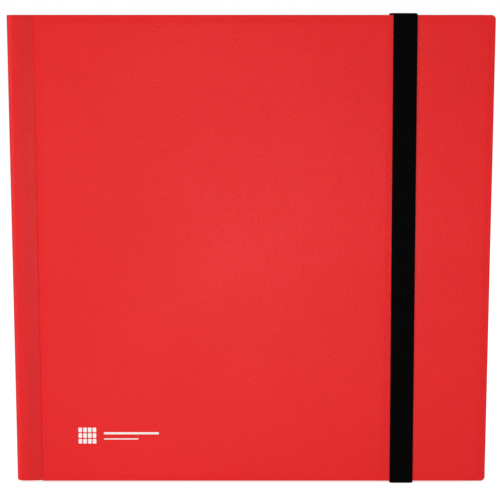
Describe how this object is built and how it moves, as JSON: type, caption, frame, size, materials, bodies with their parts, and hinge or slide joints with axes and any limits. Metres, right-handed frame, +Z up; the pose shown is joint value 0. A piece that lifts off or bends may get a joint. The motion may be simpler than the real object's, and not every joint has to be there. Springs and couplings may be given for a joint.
{
  "type": "trading card binder",
  "caption": "Leatherette-covered binder with side-loading clear card pockets on black leaves and an elastic closing band, hinged at two creases.",
  "frame": {"origin": "on the ground at the middle of the closed, standing binder's box", "axes": "+X from the spine to the fore-edge, -Y out of the front cover, +Z up along the spine"},
  "size_m": [0.325, 0.0344, 0.3225],
  "materials": {
    "leatherette": "satin, fine grain",
    "board": "matte",
    "lining": "matte",
    "elastic": "ribbed weave",
    "binding": "matte",
    "page_sheet": "satin",
    "clear_film": "clear, glossy"
  },
  "bodies": {
    "back_cover": {"back_skin": "leatherette", "back_board": "board", "back_lining": "lining", "strap_top_tail": "elastic", "strap_bottom_tail": "elastic"},
    "spine": {"spine_skin": "leatherette", "spine_board": "board", "spine_lining": "lining", "front_hinge_slat": "board", "back_hinge_slat": "board", "binding_strip": "binding", "binding_guards": "binding"},
    "front_cover": {"front_skin": "leatherette", "front_board": "board", "front_lining": "lining"},
    "strap": {"strap_run": "elastic", "strap_top_wrap": "elastic", "strap_bottom_wrap": "elastic"},
    "leaf_01": {"leaf_01_web": "page_sheet", "leaf_01_film": "clear_film"},
    "leaf_02": {"leaf_02_web": "page_sheet", "leaf_02_film": "clear_film"},
    "leaf_03": {"leaf_03_web": "page_sheet", "leaf_03_film": "clear_film"},
    "leaf_04": {"leaf_04_web": "page_sheet", "leaf_04_film": "clear_film"},
    "leaf_05": {"leaf_05_web": "page_sheet", "leaf_05_film": "clear_film"},
    "leaf_06": {"leaf_06_web": "page_sheet", "leaf_06_film": "clear_film"},
    "leaf_07": {"leaf_07_web": "page_sheet", "leaf_07_film": "clear_film"},
    "leaf_08": {"leaf_08_web": "page_sheet", "leaf_08_film": "clear_film"},
    "leaf_09": {"leaf_09_web": "page_sheet", "leaf_09_film": "clear_film"},
    "leaf_10": {"leaf_10_web": "page_sheet", "leaf_10_film": "clear_film"},
    "leaf_11": {"leaf_11_web": "page_sheet", "leaf_11_film": "clear_film"},
    "leaf_12": {"leaf_12_web": "page_sheet", "leaf_12_film": "clear_film"},
    "leaf_13": {"leaf_13_web": "page_sheet", "leaf_13_film": "clear_film"},
    "leaf_14": {"leaf_14_web": "page_sheet", "leaf_14_film": "clear_film"},
    "leaf_15": {"leaf_15_web": "page_sheet", "leaf_15_film": "clear_film"},
    "leaf_16": {"leaf_16_web": "page_sheet", "leaf_16_film": "clear_film"},
    "leaf_17": {"leaf_17_web": "page_sheet", "leaf_17_film": "clear_film"},
    "leaf_18": {"leaf_18_web": "page_sheet", "leaf_18_film": "clear_film"},
    "leaf_19": {"leaf_19_web": "page_sheet", "leaf_19_film": "clear_film"},
    "leaf_20": {"leaf_20_web": "page_sheet", "leaf_20_film": "clear_film"}
  },
  "joints": [
    {"name": "front_cover_fold", "type": "hinge", "parent": "spine", "child": "front_cover", "pos_m": [-0.1448, -0.0157, 0.16], "axis": [0, 0, -1], "range_deg": [0, 90]},
    {"name": "spine_fold", "type": "hinge", "parent": "back_cover", "child": "spine", "pos_m": [-0.1448, 0.0157, 0.16], "axis": [0, 0, -1], "range_deg": [0, 90]},
    {"name": "leaf_01_turn", "type": "hinge", "parent": "spine", "child": "leaf_01", "pos_m": [-0.1426, -0.01292, 0.16], "axis": [0, 0, -1], "range_deg": [0, 87.75]},
    {"name": "leaf_02_turn", "type": "hinge", "parent": "spine", "child": "leaf_02", "pos_m": [-0.1412, -0.01156, 0.16], "axis": [0, 0, -1], "range_deg": [0, 87.46]},
    {"name": "leaf_03_turn", "type": "hinge", "parent": "spine", "child": "leaf_03", "pos_m": [-0.1398, -0.0102, 0.16], "axis": [0, 0, -1], "range_deg": [0, 87.15]},
    {"name": "leaf_04_turn", "type": "hinge", "parent": "spine", "child": "leaf_04", "pos_m": [-0.1384, -0.00884, 0.16], "axis": [0, 0, -1], "range_deg": [0, 86.85]},
    {"name": "leaf_05_turn", "type": "hinge", "parent": "spine", "child": "leaf_05", "pos_m": [-0.137, -0.00748, 0.16], "axis": [0, 0, -1], "range_deg": [0, 86.56]},
    {"name": "leaf_06_turn", "type": "hinge", "parent": "spine", "child": "leaf_06", "pos_m": [-0.1356, -0.00612, 0.16], "axis": [0, 0, -1], "range_deg": [0, 86.25]},
    {"name": "leaf_07_turn", "type": "hinge", "parent": "spine", "child": "leaf_07", "pos_m": [-0.1342, -0.00476, 0.16], "axis": [0, 0, -1], "range_deg": [0, 85.95]},
    {"name": "leaf_08_turn", "type": "hinge", "parent": "spine", "child": "leaf_08", "pos_m": [-0.1328, -0.0034, 0.16], "axis": [0, 0, -1], "range_deg": [0, 85.66]},
    {"name": "leaf_09_turn", "type": "hinge", "parent": "spine", "child": "leaf_09", "pos_m": [-0.1314, -0.00204, 0.16], "axis": [0, 0, -1], "range_deg": [0, 85.35]},
    {"name": "leaf_10_turn", "type": "hinge", "parent": "spine", "child": "leaf_10", "pos_m": [-0.13, -0.00068, 0.16], "axis": [0, 0, -1], "range_deg": [0, 85.05]},
    {"name": "leaf_11_turn", "type": "hinge", "parent": "spine", "child": "leaf_11", "pos_m": [-0.13, 0.00068, 0.16], "axis": [0, 0, 1], "range_deg": [0, 85.05]},
    {"name": "leaf_12_turn", "type": "hinge", "parent": "spine", "child": "leaf_12", "pos_m": [-0.1314, 0.00204, 0.16], "axis": [0, 0, 1], "range_deg": [0, 85.35]},
    {"name": "leaf_13_turn", "type": "hinge", "parent": "spine", "child": "leaf_13", "pos_m": [-0.1328, 0.0034, 0.16], "axis": [0, 0, 1], "range_deg": [0, 85.66]},
    {"name": "leaf_14_turn", "type": "hinge", "parent": "spine", "child": "leaf_14", "pos_m": [-0.1342, 0.00476, 0.16], "axis": [0, 0, 1], "range_deg": [0, 85.95]},
    {"name": "leaf_15_turn", "type": "hinge", "parent": "spine", "child": "leaf_15", "pos_m": [-0.1356, 0.00612, 0.16], "axis": [0, 0, 1], "range_deg": [0, 86.25]},
    {"name": "leaf_16_turn", "type": "hinge", "parent": "spine", "child": "leaf_16", "pos_m": [-0.137, 0.00748, 0.16], "axis": [0, 0, 1], "range_deg": [0, 86.56]},
    {"name": "leaf_17_turn", "type": "hinge", "parent": "spine", "child": "leaf_17", "pos_m": [-0.1384, 0.00884, 0.16], "axis": [0, 0, 1], "range_deg": [0, 86.85]},
    {"name": "leaf_18_turn", "type": "hinge", "parent": "spine", "child": "leaf_18", "pos_m": [-0.1398, 0.0102, 0.16], "axis": [0, 0, 1], "range_deg": [0, 87.15]},
    {"name": "leaf_19_turn", "type": "hinge", "parent": "spine", "child": "leaf_19", "pos_m": [-0.1412, 0.01156, 0.16], "axis": [0, 0, 1], "range_deg": [0, 87.46]},
    {"name": "leaf_20_turn", "type": "hinge", "parent": "spine", "child": "leaf_20", "pos_m": [-0.1426, 0.01292, 0.16], "axis": [0, 0, 1], "range_deg": [0, 87.75]},
    {"name": "strap_release", "type": "slide", "parent": "back_cover", "child": "strap", "axis": [0.9976, -0.0693, 0], "range_m": [0, 0.0725], "deforming": ["strap_top_wrap", "strap_bottom_wrap"]}
  ],
  "couplings": [
    {"joint": "spine_fold", "follows": "front_cover_fold", "ratio": 1},
    {"joint": "leaf_01_turn", "follows": "front_cover_fold", "ratio": 0.975},
    {"joint": "leaf_02_turn", "follows": "front_cover_fold", "ratio": 0.97167},
    {"joint": "leaf_03_turn", "follows": "front_cover_fold", "ratio": 0.96833},
    {"joint": "leaf_04_turn", "follows": "front_cover_fold", "ratio": 0.965},
    {"joint": "leaf_05_turn", "follows": "front_cover_fold", "ratio": 0.96167},
    {"joint": "leaf_06_turn", "follows": "front_cover_fold", "ratio": 0.95833},
    {"joint": "leaf_07_turn", "follows": "front_cover_fold", "ratio": 0.955},
    {"joint": "leaf_08_turn", "follows": "front_cover_fold", "ratio": 0.95167},
    {"joint": "leaf_09_turn", "follows": "front_cover_fold", "ratio": 0.94833},
    {"joint": "leaf_10_turn", "follows": "front_cover_fold", "ratio": 0.945},
    {"joint": "leaf_11_turn", "follows": "front_cover_fold", "ratio": 0.945},
    {"joint": "leaf_12_turn", "follows": "front_cover_fold", "ratio": 0.94833},
    {"joint": "leaf_13_turn", "follows": "front_cover_fold", "ratio": 0.95167},
    {"joint": "leaf_14_turn", "follows": "front_cover_fold", "ratio": 0.955},
    {"joint": "leaf_15_turn", "follows": "front_cover_fold", "ratio": 0.95833},
    {"joint": "leaf_16_turn", "follows": "front_cover_fold", "ratio": 0.96167},
    {"joint": "leaf_17_turn", "follows": "front_cover_fold", "ratio": 0.965},
    {"joint": "leaf_18_turn", "follows": "front_cover_fold", "ratio": 0.96833},
    {"joint": "leaf_19_turn", "follows": "front_cover_fold", "ratio": 0.97167},
    {"joint": "leaf_20_turn", "follows": "front_cover_fold", "ratio": 0.975},
    {"joint": "strap_release", "follows": "front_cover_fold", "m_per_rad": 0.0458}
  ]
}
